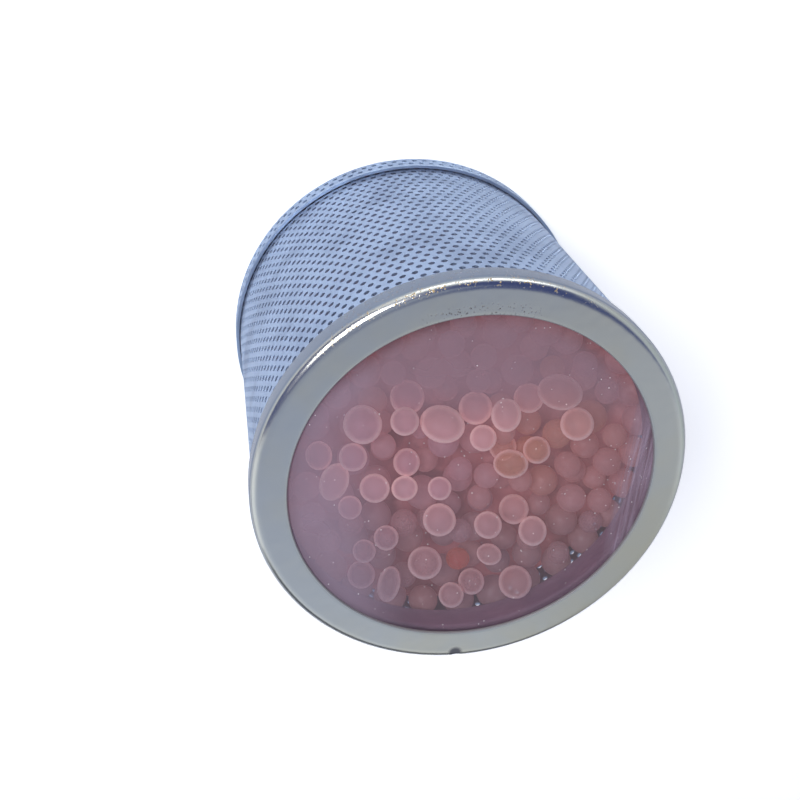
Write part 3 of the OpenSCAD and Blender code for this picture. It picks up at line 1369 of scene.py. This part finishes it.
# Each bead's last number, its glow, is painted light.
SEEN_BEADS = (
    SeenBead(-13.5, 6.0, 4.8, 4.8, 0, 0.10, 0.45),
    SeenBead(-3.7, 6.0, 5.7, 4.5, -14, 0.30, 0.85),
    SeenBead(4.2, 7.2, 3.7, 4.2, 0, 0.30, 0.95),
    SeenBead(1.7, 4.0, 3.3, 3.3, 0, 0.35, 0.90),
    SeenBead(-8.4, 6.4, 3.5, 3.5, 0, 0.20, 0.60),
    SeenBead(0.2, 8.2, 4.2, 4.2, 0, 0.30, 0.60),
    SeenBead(13.6, 5.9, 4.2, 4.2, 0, 0.60, 0.75),
    SeenBead(-5.5, 3.1, 2.4, 2.4, 0, 0.35, 0.80),
    SeenBead(-16.4, -2.1, 3.5, 4.9, -20, 0.15, 0.85),
    SeenBead(-8.2, -18.2, 2.9, 5.2, -10, 0.10, 1.00),
    SeenBead(4.9, -13.8, 3.4, 2.7, -12, 0.45, 0.95),
    SeenBead(10.3, -10.2, 3.7, 4.0, 0, 0.35, 0.85),
    SeenBead(7.3, -6.8, 4.0, 4.0, 0, 0.40, 0.75),
    SeenBead(-7.5, -3.2, 3.3, 3.1, 20, 0.15, 0.85),
    SeenBead(-2.5, -8.1, 4.3, 4.2, 0, 0.30, 0.70),
    SeenBead(4.1, -9.1, 3.6, 3.6, 0, 0.35, 0.60),
    SeenBead(-11.3, -3.1, 3.8, 3.6, 0, 0.15, 0.65),
    SeenBead(10.6, 10.4, 5.7, 4.3, -8, 0.50, 0.35),
    SeenBead(6.7, 9.6, 3.8, 3.8, 0, 0.40, 0.45),
    SeenBead(8.7, 5.9, 5.7, 3.6, 14, 0.75, 0.20),
    SeenBead(-2.5, 1.9, 4.3, 4.3, 0, 0.30, 0.40),
    SeenBead(5.8, 0.2, 4.5, 3.6, 0, 0.85, 0.30),
    SeenBead(4.4, 2.7, 3.6, 3.6, 0, 0.75, 0.30),
    SeenBead(8.9, 2.2, 3.5, 3.5, 0, 0.80, 0.25),
    SeenBead(12.3, 2.9, 3.9, 3.9, 0, 0.78, 0.25),
    SeenBead(-7.6, 0.6, 3.4, 3.6, 0, 0.20, 0.35),
    SeenBead(-18.5, 1.6, 3.4, 3.7, 0, 0.10, 0.50),
    SeenBead(-14.5, 2.0, 3.5, 3.5, 0, 0.15, 0.35),
    SeenBead(-10.1, 4.4, 3.1, 3.1, 0, 0.20, 0.50),
    SeenBead(1.8, 0.5, 3.5, 3.5, 0, 0.45, 0.40),
    SeenBead(-3.0, -3.3, 3.0, 3.0, 0, 0.20, 0.45),
    SeenBead(0.2, -9.0, 2.4, 3.1, 0, 0.40, 0.65),
    SeenBead(-3.7, -14.9, 4.5, 4.3, 0, 0.35, 0.30),
    SeenBead(-5.6, -19.0, 3.1, 4.3, 0, 0.25, 0.45),
    SeenBead(-9.2, -10.7, 3.2, 3.2, 0, 0.20, 0.25),
    SeenBead(-11.9, -12.7, 3.0, 3.0, 0, 0.20, 0.30),
    SeenBead(-14.9, -12.1, 2.6, 2.6, 0, 0.15, 0.30),
    SeenBead(-12.0, -16.5, 3.7, 3.7, 0, 0.15, 0.25),
    SeenBead(-2.7, -18.7, 3.5, 3.5, 0, 0.35, 0.30),
    SeenBead(0.5, -20.4, 3.4, 3.4, 0, 0.35, 0.40),
    SeenBead(3.0, -18.2, 3.6, 3.6, 0, 0.35, 0.35),
    SeenBead(5.3, -20.6, 3.7, 3.7, 0, 0.40, 0.30),
    SeenBead(9.2, -18.6, 4.5, 4.5, 0, 0.40, 0.30),
    SeenBead(-14.2, -5.9, 3.0, 3.0, 0, 0.15, 0.40),
    SeenBead(-8.4, 9.7, 4.3, 4.3, 0, 0.20, 0.25),
    SeenBead(0.7, -14.3, 3.2, 2.6, 10, 1.00, 0.00),
)


@dataclass
class BeadHeap:
    """Loose beads behind the window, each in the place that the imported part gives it."""

    node: str = "desiccant_beads"
    sight: Sight = Sight()
    seen_depth: float = 5.0 * MM
    match: float = 0.7 * MM
    weld: float = 0.001 * MM
    near_depth: float = 7.6 * MM
    swell: float = 0.012
    wave: float = 1.6
    squash: Point = (0.08, 0.02)
    # Random painted light for the beads that don't stand out.
    least_glow: float = 0.15
    more_glow: float = 0.4
    cuts: tuple[int, int, int] = (4, 4, 3)
    orange_at: Point = (11 * MM, 2 * MM)
    orange_reach: float = 9 * MM
    coolest: float = 0.22
    warmer: float = 0.55
    warmest: float = 0.85
    spread: float = 0.10
    seed: int = 23
    # The clear beads carry the painted sheen; the near and lower beads take darker copies of the
    # gel with weaker glows: painted shade.
    finishes: tuple[Finish, Finish, Finish] = (
        GelBead("gel_beads_clear", body=0.43, rim=0.95, rim_sheen_share=1.0, sheen=0.7),
        GelBead(
            "gel_beads_near",
            (0.42, 0.25, 0.31),
            (0.50, 0.26, 0.27),
            (0.46, 0.22, 0.13),
            (0.45, 0.07, 0.07),
            lit=(0.16, 0.075, 0.075),
        ),
        GelBead(
            "gel_beads_below",
            (0.34, 0.15, 0.17),
            (0.40, 0.17, 0.16),
            (0.40, 0.16, 0.10),
            body=0.8,
            rim=0.85,
            lit=(0.15, 0.065, 0.065),
        ),
    )

    def balls(self) -> list[tuple[Vector, float]]:
        """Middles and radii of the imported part's beads, from the lowest up.

        Returns:
            A middle and a radius for each bead.
        """
        work = bmesh.new()
        work.from_mesh(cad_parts[self.node].data)
        bmesh.ops.remove_doubles(work, verts=work.verts, dist=self.weld)
        found = []
        rest = set(work.verts)
        while rest:
            island, edge = set(), [rest.pop()]
            while edge:
                vertex = edge.pop()
                island.add(vertex)
                joined = {e.other_vert(vertex) for e in vertex.link_edges} & rest
                rest -= joined
                edge += joined
            corners = np.array([v.co for v in island])
            low, high = corners.min(axis=0), corners.max(axis=0)
            found.append((Vector((low + high) / 2), float((high - low).max()) / 2))
        work.free()
        return sorted(found, key=lambda ball: (round(ball[0].z, 6), round(ball[0].x, 6)))

    def seen(self, middle: Vector, plane: float) -> SeenBead | None:
        """The photograph's bead at a place, if one stands out there.

        Args:
            middle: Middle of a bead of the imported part.
            plane: Height of the plane on which the seen beads are given.

        Returns:
            The seen bead.
        """
        x, y = self.sight.slide(middle, plane)
        nearest = min(SEEN_BEADS, key=lambda seen: math.dist((x, y), (seen.x * MM, seen.y * MM)))
        away = math.dist((x, y), (nearest.x * MM, nearest.y * MM))
        return nearest if away < self.match else None

    def warmth(self, middle: Vector) -> float:
        """How orange the beads are at a place, from 0 to 1."""
        away = math.dist(middle.xy, self.orange_at) / self.orange_reach
        return self.coolest + self.warmer * math.exp(-away * away)

    def piece(
        self, name: str, beads: Sequence[Bead], cuts: int, finish: Finish
    ) -> bpy.types.Object:
        """Makes one piece of many beads.

        Args:
            name: Its name.
            beads: The beads.
            cuts: How finely each ball is divided.
            finish: Finish of the beads.

        Returns:
            The dressed piece.
        """
        draw = np.random.default_rng(self.seed + len(beads))
        work = bmesh.new()
        bmesh.ops.create_icosphere(work, subdivisions=cuts, radius=1.0)
        ball = np.array([v.co for v in work.verts])
        faces = [tuple(v.index for v in f.verts) for f in work.faces]
        work.free()
        shape = Shape()
        for bead in beads:
            waves = draw.normal(size=(3, 3)) * self.wave
            waves = np.sin(ball @ waves + draw.random(3) * math.tau)
            points = ball * (1 - self.swell * (1.5 + waves.sum(axis=1) / 2))[:, None] * bead.half
            c, s = math.cos(bead.turn), math.sin(bead.turn)
            points = points @ np.array([(c, s, 0), (-s, c, 0), (0, 0, 1)])
            shape.add((points + bead.middle).tolist(), faces)
        piece = shape.piece(name, finish, self.node, sharp=180.0, weld=0.0)
        for attribute in ("tone", "glow"):
            layer = piece.data.attributes.new(attribute, "FLOAT", "POINT")
            values = np.repeat([getattr(bead, attribute) for bead in beads], len(ball))
            layer.data.foreach_set("value", np.clip(values, 0.0, 1.0))
        return piece

    def build(self) -> Iterable[bpy.types.Object]:
        """Makes the heap.

        Yields:
            The beads that stand out, those round them and the plainer ones below.
        """
        draw = np.random.default_rng(self.seed)
        face_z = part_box("front_cap")[1].z
        plane, level = face_z - self.seen_depth, face_z - self.near_depth
        kinds: tuple[list[Bead], list[Bead], list[Bead]] = ([], [], [])
        for middle, radius in self.balls():
            seen = self.seen(middle, plane)
            if seen is None:
                below = middle.z < level
                half = tuple(radius * (1 - self.squash[below] * draw.random(3)))
                tone = min(self.warmth(middle) + draw.normal(0, self.spread), self.warmest)
                turn = draw.random() * math.pi
                glow = self.least_glow + self.more_glow * draw.random()
                kinds[1 + below].append(Bead(tuple(middle), half, turn, tone, glow))
            else:
                half = (seen.width / 2 * MM, seen.length / 2 * MM, radius)
                turn = math.radians(seen.turn)
                bead = Bead(tuple(middle), half, turn, seen.tone, seen.glow)
                kinds[0 if seen.glow else 1].append(bead)
        names = ("beads_clear", "beads_near", "beads_below")
        for name, beads, cuts, finish in zip(names, kinds, self.cuts, self.finishes):
            yield self.piece(name, beads, cuts, finish)


@dataclass
class PackedBeads:
    """Rest of the bed as one skin, dented between the beads that press on the sheet."""

    node: str = "desiccant_charge"
    bead_d: float = 4.1 * MM
    row: float = 3.6 * MM
    dent: float = 1.0 * MM
    jitter: float = 0.35 * MM
    step: float = 0.6 * MM
    columns: int = 288
    seed: int = 11
    finish: Finish = PackedGel()

    def depth(self, places: np.ndarray, middles: np.ndarray) -> np.ndarray:
        """How far each place lies under the beads' outer side.

        Args:
            places: Places on the unrolled surface.
            middles: Middles of the beads on it.

        Returns:
            The depths.
        """
        radius = self.bead_d / 2
        away = np.full(len(places), radius)
        for middle in middles:
            away = np.minimum(away, np.hypot(*(places - middle).T))
        return np.minimum(radius - np.sqrt(radius**2 - away**2), self.dent)

    def build(self) -> Iterable[bpy.types.Object]:
        """Makes the skin.

        Yields:
            The dressed piece.
        """
        draw = np.random.default_rng(self.seed)
        low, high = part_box(self.node)
        radius, bottom, top = high.x, low.z, high.z
        turns = np.array(even_angles(self.columns))
        round_count = int(math.tau * radius / self.bead_d)
        rows = np.arange(bottom - self.row, top + self.row, self.row)
        side = [
            (math.tau * radius * (i + number % 2 / 2) / round_count, z)
            for number, z in enumerate(rows)
            for i in range(-1, round_count + 2)
        ]
        side = np.array(side) + draw.normal(0, self.jitter, (len(side), 2))
        reach = int(radius / self.row) + 1
        lattice = range(-reach, reach + 1)
        end = [((i + j % 2 / 2) * self.bead_d, j * self.row) for i in lattice for j in lattice]
        end = np.array(end) + draw.normal(0, self.jitter, (len(end), 2))
        levels = np.linspace(bottom, top, int((top - bottom) / self.step) + 1)
        rings = np.linspace(0.0, radius, int(radius / self.step) + 1)[:-1]
        points: list[np.ndarray] = []
        for r in rings:
            flat = np.stack([r * np.cos(turns), r * np.sin(turns)], axis=1)
            points.append(np.column_stack([flat, bottom + self.depth(flat, end)]))
        for z in levels:
            flat = np.stack([turns * radius, np.full_like(turns, z)], axis=1)
            r = radius - self.depth(flat, side)
            points.append(np.column_stack([r * np.cos(turns), r * np.sin(turns), flat[:, 1]]))
        for r in rings[::-1]:
            flat = np.stack([r * np.cos(turns), r * np.sin(turns)], axis=1)
            points.append(np.column_stack([flat, top - self.depth(flat, end)]))
        n = self.columns
        faces = [
            (line * n + i, line * n + (i + 1) % n, (line + 1) * n + (i + 1) % n, (line + 1) * n + i)
            for line in range(len(points) - 1)
            for i in range(n)
        ]
        shape = Shape()
        shape.add(np.concatenate(points).tolist(), faces)
        yield shape.piece("packed_beads", self.finish, self.node, sharp=80.0)


@dataclass(frozen=True)
class Lamp:
    """A square-cornered soft lamp: its direction and distance from the cartridge, size, power."""

    name: str
    towards: Triple
    away: float
    size: Point
    power: float


@dataclass(frozen=True)
class Sky:
    """Light from all sides, coloured by direction: pale near the floor, darker overhead.

    A span gives the parts of a unit vector along one axis between which a colour comes in.
    """

    low: Colour = (0.90, 0.93, 0.98)
    overhead: Colour = (0.32, 0.37, 0.50)
    overhead_z: Point = (0.35, 1.0)
    overhead_right: Colour = (0.38, 0.40, 0.44)
    overhead_right_x: Point = (0.05, 0.45)
    dim_right: Colour = (0.40, 0.41, 0.41)
    dim_right_x: Point = (0.24, 0.42)
    dim_right_y: Point = (-0.44, -0.58)
    front: Colour = (0.12, 0.13, 0.15)
    front_y: Point = (-0.78, -0.86)
    front_z: Point = (0.56, 0.42)
    right: Colour = (0.50, 0.55, 0.58)
    right_x: Point = (0.55, 0.95)
    card: Colour = (0.05, 0.07, 0.21)
    card_front_y: Point = (-0.29, -0.22)
    card_back_y: Point = (0.80, 0.74)
    card_right_x: Point = (0.82, 0.60)
    card_foot_z: Point = (0.36, 0.50)
    card_left_x: Point = (-0.1, -0.6)
    card_left_drop: float = 0.30
    card_hole: Point = (0.24, 0.17)

    def shine(self) -> None:
        """Makes the world's light. The flat ring mirrors its dark card from most sides."""
        world = bpy.data.worlds.new("studio_air")
        bpy.context.scene.world = world
        tree = NodeTree(world)
        x, y, z = tree.axes(tree.node("ShaderNodeTexCoord", output="Generated"))
        to_right = x.smooth(*self.overhead_right_x)
        overhead = tree.mix(to_right, self.overhead, self.overhead_right)
        card = y.smooth(*self.card_front_y) * y.smooth(*self.card_back_y)
        card = card * x.smooth(*self.card_right_x)
        above = z + x.smooth(*self.card_left_x) * self.card_left_drop
        hole = x.math("SQRT", x * x + y * y).smooth(*self.card_hole)
        card = card * above.smooth(*self.card_foot_z) * (1.0 - hole)
        colour = tree.layers(
            self.low,
            (z.smooth(*self.overhead_z), overhead),
            (x.smooth(*self.dim_right_x) * y.smooth(*self.dim_right_y) * 0.9, self.dim_right),
            (y.smooth(*self.front_y) * z.smooth(*self.front_z), self.front),
            (x.smooth(*self.right_x), self.right),
            (card, self.card),
            (tree.looked_at(), WHITE),
        )
        shader = tree.node("ShaderNodeBackground", inputs={"Color": colour})
        tree.show(shader, "ShaderNodeOutputWorld")


@dataclass
class Studio:
    """Pale floor, soft light and the photograph's camera."""

    sight: Sight = Sight()
    sky: Sky = Sky()
    floor_half: float = 1.5
    target: Triple = (0.0, 0.0, 0.03)
    lamps: tuple[Lamp, ...] = (
        Lamp("edge_lamp", (0.10, 0.95, 0.30), 0.45, (0.40, 0.03), 0.25),
        Lamp("window_lamp", (-0.50, 0.42, 0.76), 0.50, (0.14, 0.14), 1.6),
    )

    def add_lamp(self, lamp: Lamp) -> None:
        """Adds a soft lamp that faces the cartridge.

        Args:
            lamp: Its place, size and power.
        """
        light = bpy.data.lights.new(lamp.name, "AREA")
        light.shape = "RECTANGLE"
        light.size, light.size_y = lamp.size
        light.energy = lamp.power
        shown = bpy.data.objects.new(lamp.name, light)
        towards = Vector(lamp.towards).normalized()
        shown.location = Vector(self.target) + towards * lamp.away
        shown.rotation_mode = "QUATERNION"
        shown.rotation_quaternion = towards.to_track_quat("Z", "Y")
        bpy.context.scene.collection.objects.link(shown)

    def add_floor(self) -> None:
        """Adds the floor under the cartridge."""
        half = self.floor_half
        mesh = bpy.data.meshes.new("studio_floor")
        corners = [(-half, -half, 0), (half, -half, 0), (half, half, 0), (-half, half, 0)]
        mesh.from_pydata(corners, [], [(0, 1, 2, 3)])
        mesh.materials.append(PaleFloor().material())
        floor = bpy.data.objects.new("studio_floor", mesh)
        bpy.context.scene.collection.objects.link(floor)
        floor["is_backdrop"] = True

    def add_camera(self) -> None:
        """Sets the camera where the photograph was taken from."""
        camera = bpy.data.cameras.new("camera")
        camera.lens = self.sight.lens
        camera.clip_start = self.sight.nearest
        shown = bpy.data.objects.new("camera", camera)
        shown.rotation_mode = "QUATERNION"
        shown.rotation_quaternion = self.sight.turn().to_quaternion()
        shown.location = self.sight.eye
        bpy.context.scene.collection.objects.link(shown)
        bpy.context.scene.camera = shown

    def build(self) -> None:
        """Makes the studio."""
        self.sky.shine()
        for lamp in self.lamps:
            self.add_lamp(lamp)
        self.add_floor()
        self.add_camera()
        bpy.context.scene.view_settings.view_transform = "Standard"


def main() -> None:
    """Builds the cartridge and the studio."""
    logging.basicConfig(level=logging.INFO, format="%(name)s: %(message)s")
    shell = (FrontCap(), Window(), Retainer(), PerforatedTube(), RearCap())
    for part in (*shell, BeadHeap(), PackedBeads()):
        for piece in part.build():
            report(piece)
    Studio().build()
    boxes = {"cad": CAD_BOX, "visual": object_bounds()}
    {name: [list(corner) for corner in box] for name, box in boxes.items()}


if __name__ == "__main__":
    main()
